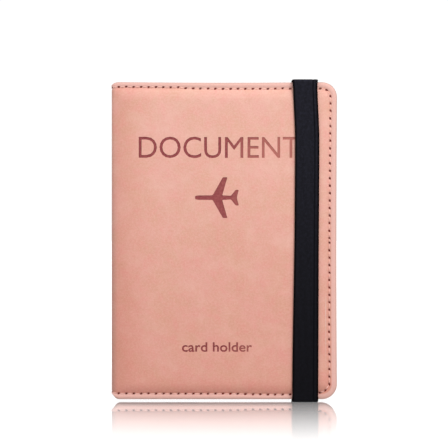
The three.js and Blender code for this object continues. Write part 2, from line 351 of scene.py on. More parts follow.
class Look:
    """A material's nodes, made one call at a time. A flat one is laid out on the hide that a piece is
    cut from."""

    def __init__(self, name, roughness, specular, sheen=0.0, sheen_tint=(1, 1, 1, 1), flat=False):
        self.material = bpy.data.materials.new(name)
        self.material.use_nodes = True
        self.nodes, self.links = self.material.node_tree.nodes, self.material.node_tree.links
        self.shader = self.nodes["Principled BSDF"]
        self.feed(self.shader, {"Roughness": roughness, "Specular IOR Level": specular})
        self.feed(self.shader, {"Sheen Weight": sheen, "Sheen Tint": sheen_tint})
        if flat:
            self.coords, self.unit = self.node("ShaderNodeUVMap", uv_map="flat").outputs["UV"], 1
        else:
            self.coords, self.unit = self.nodes.new("ShaderNodeTexCoord").outputs["Object"], MM

    def feed(self, node, inputs):
        """Sets a node's inputs, each to a value or to another node's socket, which is linked."""
        for key, value in dict(inputs).items():
            if isinstance(value, bpy.types.NodeSocket):
                self.links.new(value, node.inputs[key])
            else:
                node.inputs[key].default_value = value

    def node(self, kind, inputs=(), **settings):
        made = self.nodes.new(kind)
        for key, value in settings.items():
            setattr(made, key, value)
        self.feed(made, inputs)
        return made

    def noise(self, size, detail=3.0, roughness=0.5, vector=None, distortion=0.0):
        """Noise whose features are about a size across, in millimetres."""
        inputs = {
            "Vector": vector or self.coords,
            "Scale": 1 / (size * self.unit),
            "Detail": detail,
            "Roughness": roughness,
            "Distortion": distortion,
        }
        return self.node("ShaderNodeTexNoise", inputs).outputs["Fac"]

    def spread(self, value, low, high, to_low=0.0, to_high=1.0):
        """A smooth step from to_low, where the value is low, to to_high, where it is high."""
        inputs = {"Value": value, "From Min": low, "From Max": high, "To Min": to_low, "To Max": to_high}
        return self.node("ShaderNodeMapRange", inputs, interpolation_type="SMOOTHSTEP").outputs["Result"]

    def math(self, operation, *values):
        return self.node("ShaderNodeMath", enumerate(values), operation=operation).outputs["Value"]

    def mix(self, factor, a, b, blend="MIX"):
        """Colour a turned into b by a factor. The numbers are the Mix node's colour sockets."""
        inputs = {0: factor, 6: a, 7: b}
        return self.node("ShaderNodeMix", inputs, data_type="RGBA", blend_type=blend).outputs[2]

    def bump(self, height, distance, normal=None):
        inputs = {"Height": height, "Distance": distance * MM, "Strength": 1.0}
        if normal is not None:
            inputs["Normal"] = normal
        return self.node("ShaderNodeBump", inputs).outputs["Normal"]

    def finish(self, color, normal):
        self.feed(self.shader, {"Base Color": color, "Normal": normal})
        return self.material


def leather(name, base, tan, pink, light, edge, deep_tone_and_shade, raw, grain, painted_fold_shade):
    """Soft matt leather: clouds of a tanner and a lighter tone, and a fine grain.

    Painted shade darkens it beside the folds, towards the bottom and above the bottom seam. It is paler on
    the sewn edge, greyer where it was cut, and darker on the folds in painted shade, more towards the
    bottom.
    """
    look = Look(name, 0.68, 0.35, sheen=0.25, sheen_tint=rgb(255, 225, 215), flat=True)
    place = look.node("ShaderNodeSeparateXYZ", {"Vector": look.coords})
    along, up = place.outputs["X"], place.outputs["Y"]
    from_middle = look.math("ABSOLUTE", look.math("SUBTRACT", along, FRONT.spine_s))
    from_fold = look.math("ADD", from_middle, FRONT.spine_s)
    from_edge = look.node("ShaderNodeAttribute", attribute_name="edge").outputs["Fac"]
    drift = look.noise(46, 3, 0.5)
    hue = look.spread(look.noise(16, 4, 0.6, distortion=0.2), 0.36, 0.64, 0, 0.8)
    clouds = look.spread(look.noise(11, 5, 0.62, distortion=0.4), 0.44, 0.76, 0, 0.55)
    blush = look.spread(look.noise(5, 4, 0.6, distortion=0.3), 0.42, 0.66, 0, 0.55)
    smudge = look.spread(look.noise(2.6, 4, 0.68), 0.42, 0.7, 0, 0.45)
    specks = look.spread(look.noise(0.9, 2, 0.6), 0.4, 0.68, 0, 0.38)
    fine = look.noise(0.5, 3, 0.6)
    # painted shade: the leather darker towards the bottom, away from the light
    low = look.math("MULTIPLY_ADD", drift, 60, up)
    # the deep tone as a ratio to the base: painted shade, and the fine grain's random darkening
    shade = [d / b for d, b in zip(deep_tone_and_shade, base)]
    color = look.mix(hue, base, tan)
    color = look.mix(blush, color, [(a + b) / 2 for a, b in zip(pink, base)])
    color = look.mix(clouds, color, light)
    color = look.mix(smudge, color, tan)
    color = look.mix(specks, color, light)
    color = look.mix(look.spread(low, 165, 30, 0, 0.5), color, shade, "MULTIPLY")
    # painted shade beside the folds and above the bottom seam, where the surface turns from the light
    beside_fold = look.spread(look.math("ABSOLUTE", from_fold), 20, 1, 0, 0.42)
    above_seam = look.spread(look.math("MULTIPLY_ADD", hue, 3, up), 14, 3, 0, 0.5)
    color = look.mix(look.math("MAXIMUM", beside_fold, above_seam), color, shade, "MULTIPLY")
    # painted shade on the folds, stronger towards the bottom
    painted_fold_shade_by_height = look.spread(up, 150, 40, 0.2 * painted_fold_shade, painted_fold_shade)
    on_fold = look.spread(look.math("ABSOLUTE", look.math("ADD", from_fold, 0.9)), 2.8, 0.3, 0, painted_fold_shade_by_height)
    color = look.mix(on_fold, color, (0.74, 0.85, 0.88, 1), "MULTIPLY")
    color = look.mix(look.spread(from_edge, 2.75, 2.1, 0, 0.8), color, edge)
    color = look.mix(look.spread(from_edge, 0.75, 0.2, 0, 0.7), color, raw)
    color = look.mix(look.spread(fine, 0.5, 0.75, 0, 0.35), color, shade, "MULTIPLY")
    cells = look.node("ShaderNodeTexVoronoi", {"Vector": look.coords, "Scale": 1 / (grain * look.unit)})
    pores = look.spread(cells.outputs["Distance"], 0.05, 0.6)
    normal = look.bump(look.math("MULTIPLY_ADD", pores, 0.6, fine), 0.035)
    normal = look.bump(look.noise(5, 3, 0.5), 0.10, normal)
    look.feed(look.shader, {"Roughness": look.spread(clouds, 0, 0.5, 0.64, 0.74)})
    return look.finish(color, normal)


def pressed_mark_and_hole_shade(name, dark, mid, fore_edge_tone=None):
    """The darker, smoother skin where leather has been pressed, and the painted shade in needle holes. The
    pressed skin may be paler towards the fore edge.
    """
    look = Look(name, 0.55, 0.3, flat=True)
    patches = look.spread(look.noise(1.2, 4, 0.6), 0.35, 0.7)
    color = look.mix(patches, dark, mid)
    if fore_edge_tone:
        along = look.node("ShaderNodeSeparateXYZ", {"Vector": look.coords}).outputs["X"]
        ragged = look.math("MULTIPLY_ADD", look.noise(9, 3), 30, along)
        color = look.mix(look.spread(ragged, 60, 100, 0, 0.9), color, fore_edge_tone)
    return look.finish(color, look.bump(look.noise(0.3, 3, 0.6), 0.03))


def thread_look(name, base, dark):
    """Twisted thread with a little fuzz."""
    look = Look(name, 0.6, 0.3, sheen=0.2)
    inputs = {"Vector": look.coords, "Scale": 1 / (2.2 * MM), "Distortion": 0.5}
    wave = look.node("ShaderNodeTexWave", inputs).outputs["Fac"]
    strands = look.spread(wave, 0.2, 0.9)
    fuzz = look.spread(look.noise(0.25, 3), 0.35, 0.7, 0, 0.5)
    color = look.mix(fuzz, base, dark)
    return look.finish(color, look.bump(strands, 0.06))


def elastic(name):
    """Black elastic: fine ribs along the band, a crosswise weave, darker edges, painted shade in its groove,
    and painted shade that darkens its lower part."""
    look = Look(name, 0.85, 0.04, sheen=0.04, sheen_tint=rgb(150, 160, 185))
    uv = look.node("ShaderNodeUVMap", uv_map="weave").outputs["UV"]
    parts = look.node("ShaderNodeSeparateXYZ", {"Vector": uv})
    across, along = parts.outputs["X"], parts.outputs["Y"]

    def cycle(value, pitch, phase=0.0):
        turn = look.math("MULTIPLY_ADD", value, 2 * math.pi / pitch, phase)
        return look.spread(look.math("SINE", turn), -1, 1)

    ribs = cycle(across, 0.55)
    picks = cycle(along, 0.42, 1.0)
    weave = look.math("MULTIPLY", ribs, look.math("MULTIPLY_ADD", picks, 0.45, 0.55))
    edge = look.spread(look.math("ABSOLUTE", across), 4.7, 5.6, 0, 0.95)
    groove = look.spread(look.math("ABSOLUTE", look.math("SUBTRACT", across, 3.75)), 0.45, 0.05)
    blotch = look.spread(look.noise(1.3, 4, 0.75), 0.42, 0.66, 0, 0.5)
    up = look.node("ShaderNodeSeparateXYZ", {"Vector": look.coords}).outputs["Z"]
    # painted shade: the band darker towards its lower end, away from the light
    lower = look.spread(up, STRAP_HIGH[2] * MM, STRAP_LOW[2] * MM, 0, 0.7)
    color = look.mix(weave, rgb(12, 11, 14), rgb(46, 46, 56))
    color = look.mix(blotch, color, rgb(44, 44, 56))
    color = look.mix(lower, color, rgb(8, 7, 7))
    color = look.mix(edge, color, rgb(6, 2, 2))
    # painted shade in the groove
    color = look.mix(look.math("MULTIPLY", groove, 0.9), color, rgb(4, 4, 6))
    height = look.math("MULTIPLY_ADD", groove, -0.8, weave)
    return look.finish(color, look.bump(height, 0.10))


def plain_fill(name, base, other, size):
    """Foam or board, which the leather hides: a base colour with specks of another."""
    look = Look(name, 0.9, 0.2)
    specks = look.spread(look.noise(size, 4, 0.7), 0.4, 0.65)
    return look.finish(look.mix(specks, base, other), look.bump(specks, 0.05))


SKIN = leather(
    "cover_leather", base=rgb(232, 172, 159), tan=rgb(223, 168, 145), pink=rgb(233, 150, 142),
    light=rgb(238, 192, 176), edge=rgb(231, 184, 174), deep_tone_and_shade=rgb(214, 138, 123), raw=rgb(196, 158, 146),
    grain=0.45, painted_fold_shade=0.8,
)
INSIDE = leather(
    "lining_leather", base=rgb(221, 160, 145), tan=rgb(214, 152, 132), pink=rgb(219, 146, 134),
    light=rgb(226, 170, 158), edge=rgb(216, 154, 142), deep_tone_and_shade=rgb(214, 148, 134), raw=rgb(190, 140, 126),
    grain=0.6, painted_fold_shade=0.1,
)
STAIN = pressed_mark_and_hole_shade("pressed_leather", rgb(133, 55, 58), rgb(156, 76, 76), rgb(184, 112, 100))
# the needle holes' dark colour is painted shade
PIT = pressed_mark_and_hole_shade("needle_hole", rgb(110, 28, 15), rgb(138, 44, 30))
THREAD = thread_look("thread", rgb(243, 193, 180), rgb(224, 166, 152))
ELASTIC = elastic("elastic")
FOAM = plain_fill("foam", rgb(240, 238, 230), rgb(222, 219, 208), 0.8)
BOARD = plain_fill("board", rgb(183, 169, 140), rgb(150, 138, 112), 1.6)


# ---- Marks on the front ----

def text_loops(words, left, right, base, capital, bolder=0.0):
    """Outlines of words in Blender's own typeface, fitted between two sides and to a capital's height,
    and moved out to make them bolder."""
    curve = bpy.data.curves.new("words", "FONT")
    curve.body = words
    curve.fill_mode = "NONE"
    curve.resolution_u = 4
    holder = in_scene("words", curve)
    bpy.context.view_layer.update()
    mesh = holder.evaluated_get(bpy.context.evaluated_depsgraph_get()).to_mesh()
    places = np.array([v.co[:2] for v in mesh.vertices])
    near = {}
    for a, b in (e.vertices for e in mesh.edges):
        near.setdefault(a, []).append(b)
        near.setdefault(b, []).append(a)
    loops, used = [], set()
    for first in near:
        if first in used:
            continue
        ring, here, last = [first], near[first][0], first
        while here != first:
            ring.append(here)
            step = near[here]
            here, last = (step[1] if step[0] == last else step[0]), here
        used.update(ring)
        loops.append(places[ring])
    bpy.data.objects.remove(holder)
    every = np.concatenate(loops)
    low, high = every.min(0), every.max(0)
    capital_height = 0.729  # of the typeface's size
    scale = np.array([(right - left) / (high[0] - low[0]), capital / capital_height])
    loops = [(loop - [low[0], 0]) * scale + [left, base] for loop in loops]
    return [resample(loop, 0.9, closed=True) for loop in grown(loops, bolder)]


def grown(loops, by):
    """Outlines moved out by a distance, and the outlines of the holes in them moved in."""
    found = []
    for loop in loops:
        s, z = loop[0]
        depth = 0
        for other in loops:
            if other is not loop:
                (s1, z1), (s2, z2) = other.T, np.roll(other, -1, axis=0).T
                crossed = (z1 > z) != (z2 > z)
                where = s1 + (z - z1) * (s2 - s1) / np.where(z2 == z1, 1, z2 - z1)
                depth += (crossed & (where > s)).sum() % 2
        if (signed_area(loop) > 0) == (depth % 2 == 1):
            loop = loop[::-1]
        ahead = np.roll(loop, -1, axis=0) - np.roll(loop, 1, axis=0)
        ahead /= np.linalg.norm(ahead, axis=1)[:, None]
        found.append(loop + by * np.stack([ahead[:, 1], -ahead[:, 0]], -1))
    return found


def rounded(points, cut, steps=4):
    """A closed outline whose corners are replaced by short curves, which start a cut away from them."""
    points = np.asarray(points, float)
    found = []
    for before, corner, after in zip(np.roll(points, 1, axis=0), points, np.roll(points, -1, axis=0)):
        ends = []
        for other in (before, after):
            length = np.linalg.norm(other - corner)
            ends.append(corner + (other - corner) * min(cut / length, 0.45))
        for t in np.linspace(0, 1, steps):
            found.append(ends[0] * (1 - t) ** 2 + corner * 2 * t * (1 - t) + ends[1] * t**2)
    return np.array(found)


def aeroplane(nose_s, axis_z):
    """A plain aeroplane seen from above, its nose to the left."""
    side = [
        (0.0, 0.75), (1.6, 1.0), (8.0, 1.05), (12.7, 9.3), (14.8, 9.3),
        (12.4, 1.05), (16.4, 0.85), (18.6, 3.6), (20.0, 3.6), (19.2, 0.5),
    ]
    outline = [(u, -v) for u, v in side] + [(u, v) for u, v in reversed(side)]
    return resample(rounded(outline, 0.45) + [nose_s, axis_z], 0.8, closed=True)


SPINE_EDGE = -RIM_T  # flat place of the holder's left side, seen from the front
TITLE = text_loops("DOCUMENT", SPINE_EDGE + 12.4, SPINE_EDGE + 85.7, LOW_Z + 110.4, 10.2)
WORDS = text_loops("card holder", SPINE_EDGE + 32.2, SPINE_EDGE + 64.0, LOW_Z + 21.9, 4.5, bolder=0.11)
PLANE = [aeroplane(SPINE_EDGE + 38.1, LOW_Z + 92.2)]


# ---- Leather ----

WELT_D = [0.0, 0.12, 0.35, 0.7, 1.1, 1.6, 2.1, 2.6, 3.0, 3.4, 4.2]  # distance in from the edge
WELT_H = [0.62, 0.88, 1.10, 1.26, 1.33, 1.28, 1.08, 0.88, 0.98, 1.12, 1.15]  # and the height there
ROWS_D = [0.12, 0.35, 0.7, 1.2, 1.7, 2.1, 2.6, 3.1, 3.6, 4.2, 4.8, 5.5, 6.3, 7.2, 8.2]  # rows of vertices
SKIN_T = 0.7
SKIN_GAP = 0.06  # between the hide and the lining
FILL_INSET = 4.75  # the hide lies on the lining outside this, and over the foam and board inside it
FILL_FROM_FOLD = 6.8
SKIN_STEP = 0.9  # between vertices along the hide's edges


def outer_height(s, z):
    """The leather's outer face: a rolled welt, the stitched groove, and the padded middle, low beside the
    fold. The middle rises quickly from the bottom seam and more gently from the others."""
    d = edge_distance(s, z)
    d = d - seam_drift(s, z) * np.clip(d / SEAM_INSET, 0, 1)
    rim_h = sum(np.interp(d + off, WELT_D, WELT_H) for off in (-0.2, 0, 0.2)) / 3
    slope = 6.4 - 1.4 * smooth((LOW_Z + 16 - z) / 10)
    rise = 1 - (1 - np.clip((d - 2.7) / slope, 0, 1)) ** 2.4
    from_fold = 1 - (1 - np.clip((s + 0.6) / 10.0, 0, 1)) ** 2.4
    waves = 0.03 * np.sin(s * 0.21 + 1.0) * np.sin(z * 0.13) + 0.02 * np.sin(s * 0.5 + z * 0.31)
    bulge = 0.12 * smooth(-s / (LEATHER_ARC + 1.5))
    return rim_h + (COVER_T - RIM_T + waves) * rise * from_fold + bulge


def front_height(s, z):
    """The front's outer face, pressed in a little under the strap."""
    under = 1 - smooth((np.abs(s - (STRAP_X - FOLD_X)) - STRAP_W / 2 + 0.8) / 2.2)
    return outer_height(s, z) - 0.2 * under * smooth((edge_distance(s, z) - 2) / 6)


def skin_inner_height(s, z):
    """The leather's inner face, which covers the foam and board and lies on the lining at the rim."""
    over_fill = smooth((edge_distance(s, z) - FILL_INSET) / 0.4) * smooth((s - FILL_FROM_FOLD) / 0.6)
    return LINING_T + SKIN_GAP + (COVER_T - SKIN_T - LINING_T - SKIN_GAP) * over_fill


def columns(places, z_inset, step):
    """Points on upright lines at some places of s, which end an inset from the top and bottom edges."""
    return np.concatenate([resample([[s, HIGH_Z - z_inset], [s, LOW_Z + z_inset]], step) for s in places])


def make_skin(cover, height, holes, marks, nodes):
    """The hide of one cover and its half of the spine, with needle holes and pressed marks cut in it."""
    s0 = cover.spine_s
    outline = half_outline(0, s0, SKIN_STEP)
    bent = np.arange(s0 + 0.45, 4.0, 0.45)  # the stretch that needs close columns
    rows = [rim(d, SKIN_STEP, s0 + 0.15) for d in ROWS_D]
    middle = grid(4.3, COVER_LEN - 9.0, LOW_Z + 9.0, HIGH_Z - 9.0, 1.5)
    points = np.concatenate([*rows, columns(bent, 8.2, 1.2), middle])
    pits = [needle_hole(*hole) for hole in holes]
    points = points[distance_to(points, pits) > 0.3]
    materials = [SKIN, STAIN, PIT]
    loops, cuts = pits, [(range(len(pits)), False, 0.10, 0.4, materials.index(PIT))]
    if marks:
        points = points[distance_to(points, marks) > 0.4]
        loops = pits + marks
        cuts.append((range(len(pits), len(loops)), True, 0.14, 0.24, materials.index(STAIN)))
    steps = [rim(d, 2.5, s0 + 0.3) for d in (1.5, FILL_INSET, FILL_INSET + 0.2, FILL_INSET + 0.4)]
    beside_fill = [3, FILL_FROM_FOLD, FILL_FROM_FOLD + 0.3, FILL_FROM_FOLD + 0.6]
    hidden = np.concatenate([*steps, columns([*np.arange(s0 + 0.6, 1.0, 0.6), *beside_fill], 6, 3)])
    piece = plate(
        cover.name + "_cover_skin", cover.place, outline, points, height, skin_inner_height,
        materials, cover.hide, loops, cuts, hidden,
    )
    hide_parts(*nodes)
    cover.bend(piece)


# ---- Stitches ----

def spaced(path, pitch):
    """Places of needle holes along a path: (s, z, direction of the path)."""
    length = np.concatenate([[0], np.cumsum(np.linalg.norm(np.diff(path, axis=0), axis=1))])
    count = round(length[-1] / pitch)
    at = (np.arange(count) + 0.5) * length[-1] / count

    def where(offset):
        return [np.interp(at + offset, length, path[:, k]) for k in (0, 1)]

    (s, z), (s1, z1), (s2, z2) = where(0), where(-0.3), where(0.3)
    return np.stack([s, z, np.arctan2(z2 - z1, s2 - s1)], -1)


def needle_hole(s, z, direction, along=0.80, across=0.46, slant=0.2, sides=12):
    """An oval outline, turned a little from the seam's direction."""
    turn = np.linspace(0, 2 * math.pi, sides, endpoint=False)
    u, v = along * np.cos(turn), across * np.sin(turn)
    c, k = math.cos(direction + slant), math.sin(direction + slant)
    return np.stack([s + u * c - v * k, z + u * k + v * c], -1)


def wander(holes, amount=0.06):
    """Holes a little off their line: moved in by the seam's drift, and high at the left of the top row."""
    holes = holes.copy()
    holes[:, :2] += RNG.normal(0, amount, (len(holes), 2))
    s, z = holes[:, 0].copy(), holes[:, 1].copy()
    fore = (s > COVER_LEN - CORNER_R) * 1.0
    up = np.sign(z - (LOW_Z + HIGH_Z) / 2) * (s < COVER_LEN - 2.0)
    outwards = np.stack([fore, up], -1) / np.hypot(fore, up)[:, None]
    holes[:, :2] -= outwards * seam_drift(s, z)[:, None]
    holes[:, 1] += 0.42 * (z > HIGH_Z - 6) * (s < 30)
    return holes


def make_stitches(name, place, runs, height, way, radius=0.26, rise=0.1, dip=0.5):
    """A stitch from each needle hole of a run to the next, lying on a height. way is OUT or IN."""
    bm = bmesh.new()
    across = np.linspace(0, 2 * math.pi, 9)[:-1]
    along = np.linspace(0, 1, 9)
    clear = 0.09  # of the pitch, between a hole's middle and the end of a stitch
    for holes in runs:
        for (s1, z1, _), (s2, z2, _) in zip(holes, holes[1:]):
            run = np.array([s2 - s1, z2 - z1])
            side = np.array([-run[1], run[0]]) / np.linalg.norm(run)
            middle = np.array([s1, z1]) + (clear + (1 - 2 * clear) * along)[:, None] * run
            lift = way * (rise + dip) * np.sin(math.pi * along) ** 0.6 - way * dip
            level = height(middle[:, 0], middle[:, 1]) + lift
            thick = radius * (0.55 + 0.45 * np.sin(math.pi * along) ** 0.5)
            flat = middle[:, None] + side * (thick[:, None] * np.cos(across))[..., None]
            high = level[:, None] + thick[:, None] * np.sin(across)
            rings = [[bm.verts.new(p) for p in ring] for ring in place(flat[..., 0], flat[..., 1], high)]
            for one, two in zip(rings, rings[1:]):
                for k in range(len(across)):
                    n = (k + 1) % len(across)
                    bm.faces.new([one[k], one[n], two[n], two[k]])
            bm.faces.new(rings[0])
            bm.faces.new(rings[-1][::-1])
    piece = new_object(name, bm, [THREAD])
    return piece


# ---- Elastic strap ----

def fillet(points, radii, step):
    """A polyline with its inner corners rounded, resampled."""
    points = [np.array(p, float) for p in points]
    path = [points[0]]
    for before, corner, after, radius in zip(points, points[1:], points[2:], radii):
        a, b = before - corner, after - corner
        a, b = a / np.linalg.norm(a), b / np.linalg.norm(b)
        half = math.acos(np.clip(a @ b, -1, 1)) / 2
        centre = corner + (a + b) / np.linalg.norm(a + b) * radius / math.sin(half)
        first, last = corner + a * radius / math.tan(half), corner + b * radius / math.tan(half)
        for t in np.linspace(0, 1, 9):
            towards = first * (1 - t) + last * t - centre
            path.append(centre + towards / np.linalg.norm(towards) * radius)
    path.append(points[-1])
    return resample(path, step)


def strap_width(z):
    """The band is stretched narrow, and spreads where it turns over the top edge and towards the bottom."""
    spread = 1.05 * np.exp(-(STRAP_HIGH[2] - z) / 1.5) + 0.75 * smooth((STRAP_MID_Z + 10 - z) / 75)
    return STRAP_W - 0.9 + spread


def strap_bow(z):
    """How far the band's middle bows towards the fore edge."""
    return 0.95 * smooth((STRAP_HIGH[2] - z) / 28) * (1 - smooth((STRAP_HIGH[2] - 26 - z) / 135))


def strap_section():
    """The band's section, ribbed outside and with a groove near one edge: places across it, from -1 to 1,
    and how far each is off its middle plane, in millimetres."""
    ribs, rib_h = 22, 0.03
    out = np.linspace(-1, 1, ribs * 6 + 1)
    back = np.linspace(1, -1, 25)[1:-1]

    def thinned(across):
        return 1 - 0.55 * np.abs(across) ** 14

    groove = 0.16 * np.exp(-(((out - 0.62) / 0.035) ** 2))
    top = (STRAP_T / 2 - rib_h) * thinned(out) + rib_h * np.cos(out * ribs * math.pi) - groove
    bottom = -(STRAP_T / 2 - 0.02) * thinned(back)
    return np.concatenate([out, back]), np.concatenate([top, bottom])


def make_strap(name, edge_z, nodes):
    """Half of the band: from its sewn end in the back cover, over one edge, to the middle of the front."""
    end_low, end_high = span(nodes[0])
    up = 1 if edge_z > STRAP_MID_Z else -1
    end_y = (end_low[1] + end_high[1]) / 2
    front_y = (STRAP_LOW[1] + STRAP_HIGH[1]) / 2
    over_z = edge_z - up * STRAP_T / 2
    tip_z = end_low[2] if up > 0 else end_high[2]
    corners = [(end_y, tip_z), (end_y, over_z), (front_y, over_z), (front_y, STRAP_MID_Z)]
    path = fillet(corners, (0.7, 0.9), 1.2)
    ahead = np.gradient(path, axis=0)
    ahead /= np.linalg.norm(ahead, axis=1)[:, None]
    normal = np.stack([ahead[:, 1], -ahead[:, 0]], -1) * up
    travelled = np.concatenate([[0], np.cumsum(np.linalg.norm(np.diff(path, axis=0), axis=1))])
    across, off = strap_section()
    bm = bmesh.new()
    weave = bm.loops.layers.uv.new("weave")
    rings = []
    for (y, z), n in zip(path, normal):
        half = strap_width(z) / 2
        front = y < front_y + 2
        x = STRAP_X + across * half + (strap_bow(z) if front else 0)
        ring = np.stack([x, y + n[0] * off, z + n[1] * off], -1) * MM
        rings.append([bm.verts.new(p) for p in ring])
    count = len(across)
    for i in range(len(rings) - 1):
        for k in range(count):
            j = (k + 1) % count
            face = bm.faces.new([rings[i][k], rings[i][j], rings[i + 1][j], rings[i + 1][k]])
            for loop, (ring, at) in zip(face.loops, ((i, k), (i, j), (i + 1, j), (i + 1, k))):
                loop[weave].uv = (across[at] * STRAP_W / 2, travelled[ring])
    bm.faces.new(rings[0])
    bm.faces.new(rings[-1][::-1])
    piece = new_object(name, bm, [ELASTIC])
    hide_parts(*nodes)
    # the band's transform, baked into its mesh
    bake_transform(piece)


# ---- Linings and pockets ----

LINING_INSET = 0.25  # the lining is cut a little smaller than the leather
SEWN_MARGIN = 4.2  # of a pocket that is sewn round the cover's edge


def make_lining(cover, nodes):
    """The lining of one cover and its half of the spine, pressed thin along the sewn edge."""
    s0 = cover.spine_s

    def face(s, z):
        return 0.05 + 0.08 * smooth((5.2 - edge_distance(s, z)) / 1.2)

    def back(s, z):
        return LINING_T - 0.02 + 0 * s

    outline = half_outline(LINING_INSET, s0, 1.5)
    rows = [rim(d, 2.0, s0 + 0.2) for d in (3.6, 4.2, 4.8, 5.4)]
    on_spine = np.arange(s0 + 0.8, -LINING_ARC, 0.9)
    bent = np.concatenate([on_spine, np.linspace(-LINING_ARC, 0, 4), (0.3, 0.7, 1.2, 2, 3)])
    middle = grid(6, COVER_LEN - 7, LOW_Z + 7, HIGH_Z - 7, 5)
    points = np.concatenate([*rows, columns(bent, 6.2, 2.0), middle])
    name = cover.name + "_inside_lining"
    piece = plate(name, cover.place, outline, points, back, face, [INSIDE], cover.hide)
    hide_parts(*nodes)
    cover.bend(piece)


class Pocket:
    """A pocket's ply with its sewn margins, in a CAD node's box. Its face looks into the holder. level is
    how far its face is from the cover's inner face, and base how far its back is."""

    def __init__(self, node, cover, mouth, ply, margin, top_r=0.0, bottom_r=0.0, rim_seam=True):
        low, high = span(node)
        self.node, self.cover, self.mouth, self.ply, self.margin = node, cover, mouth, ply, margin
        self.top_r, self.bottom_r, self.rim_seam = top_r, bottom_r, rim_seam
        self.sides = (low[0] - FOLD_X, high[0] - FOLD_X, low[2], high[2])
        self.base, self.level = sorted(abs(y - cover.inner_y) for y in (low[1], high[1]))

    def hide(self, s):
        """Each pocket is cut from a place of its own on the hide."""
        return s + self.level * 90

    def holds(self, s, z):
        """Whether the pocket covers a place."""
        return inset_in(s, z, self.sides) >= 0

    def from_mouth(self, s, z):
        return s - self.sides[0] if self.mouth == "spine" else self.sides[3] - z

    def from_seam(self, s, z):
        """Distance in from the nearest of the three sides that are sewn."""
        s0, s1, z0, z1 = self.sides
        sewn = (-np.inf, s1, z0, z1) if self.mouth == "spine" else (s0, s1, z0, np.inf)
        return inset_in(s, z, sewn, self.top_r if self.mouth == "spine" else 0, self.bottom_r)

    def face(self, s, z):
        """The visible face, as a distance into the holder: a turned hem with a crease, and a sewn edge."""
        m, e = self.from_mouth(s, z), self.from_seam(s, z)
        hem = 0.10 * smooth((5.2 - m) / 0.4)
        crease = 0.12 * np.exp(-(((m - 1.5) / 0.3) ** 2)) * smooth((e - 0.5) / 1.5)
        lip = 0.14 * (1 - smooth(m / 0.3)) + 0.10 * (1 - smooth(e / 0.3))
        seam = 0.14 * np.exp(-(((e - (SEAM_INSET if self.rim_seam else 0.9)) / 0.5) ** 2))
        sag = 0.10 * smooth((e - self.margin) / 14) * (1 + np.sin(s * 0.11) * np.sin(z * 0.09)) / 2
        return self.level - 0.10 + hem - crease - lip - seam - sag

    def back(self, s, z):
        """The hidden face, with room for what the pocket holds, and for the strap's ends behind one."""
        room = smooth((self.from_seam(s, z) - self.margin) / 0.3)
        if self.node == "passport_pocket":
            beside = np.abs(s + FOLD_X - STRAP_X) - STRAP_W / 2
            room = np.maximum(room, 1 - smooth((beside - 0.2) / 0.3))
        return self.base + 0.02 + (self.level - self.ply - self.base - 0.02) * room


def make_pocket(pocket):
    s0, s1, z0, z1 = pocket.sides
    at_spine = pocket.mouth == "spine"
    inset = 0.2 if pocket.rim_seam else 0.0  # the ply stops short of the cover's edge
    top = z1 - inset if pocket.top_r else z1
    outline = box_outline(s0, s1 - inset, z0 + inset, top, 1.2, pocket.top_r, pocket.bottom_r)
    lines = []
    for m in (0.15, 0.3, 1.0, 1.3, 1.5, 1.7, 2.0, 4.8, 5.3):  # rows beside the hem, its crease and its edge
        upright = [[s0 + m, z0 + 0.6], [s0 + m, z1 - 0.6]]
        level = [[s0 + 0.6, z1 - m], [s1 - 0.6, z1 - m]]
        lines.append(resample(upright if at_spine else level, 1.6))
    sewn_rows = (0.3, 2.1, 2.6, 3.1, 4.2, 4.55) if pocket.rim_seam else (0.3, 0.5, 0.9, 1.3, 1.6, 1.9)
    for e in (*sewn_rows, pocket.margin, pocket.margin + 0.3):
        sides = (s0 + e, s1 - e, z0 + e, z1 - e)
        top_r, bottom_r = (max(r - e, 0.3) if r else 0.0 for r in (pocket.top_r, pocket.bottom_r))
        lines.append(box_outline(*sides, 1.8, top_r, bottom_r))
    if pocket.node == "passport_pocket":
        for off in (0.2, 0.5):
            for way in (-1, 1):
                lines.append(columns([STRAP_X - FOLD_X + way * (STRAP_W / 2 + off)], 0.5, 1.5))
    points = np.concatenate([*lines, grid(s0 + 7, s1 - 7, z0 + 6, z1 - 7, 4)])
    shape = ((s0, s1 - inset, z0 + inset, z1), pocket.top_r, pocket.bottom_r)
    points = points[inset_in(points[:, 0], points[:, 1], *shape) > 0.1]

    def outer(s, z):
        return IN * pocket.face(s, z)

    def inner(s, z):
        return IN * pocket.back(s, z)

    name, place = pocket.node + "_ply", pocket.cover.place
    piece = plate(name, place, outline, points, outer, inner, [INSIDE], pocket.hide)
    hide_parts(pocket.node)
    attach(piece, pocket.cover.body)


def inside_height(cover, pockets):
    """The height of the holder's inner face on a cover, whatever is on top."""

    def height(s, z):
        best = np.zeros_like(s)
        for pocket in pockets:
            if pocket.cover is cover:
                best = np.where(pocket.holds(s, z), np.maximum(best, pocket.face(s, z)), best)
        return IN * best

    return height


POCKETS = [
    Pocket("ticket_pocket", FRONT, "spine", 0.35, SEWN_MARGIN, CORNER_R, CORNER_R),
    Pocket("card_pocket_rear", FRONT, "top", 0.35, 2.2, 0, CORNER_R),
    Pocket("card_pocket_middle", FRONT, "top", 0.35, 2.2, 0, CORNER_R),
    Pocket("card_pocket_front", FRONT, "top", 0.35, 2.2, 0, CORNER_R),
    Pocket("sim_pocket", FRONT, "top", 0.35, 1.6, rim_seam=False),
    Pocket("passport_pocket", BACK, "spine", 0.45, SEWN_MARGIN, CORNER_R, CORNER_R),
]

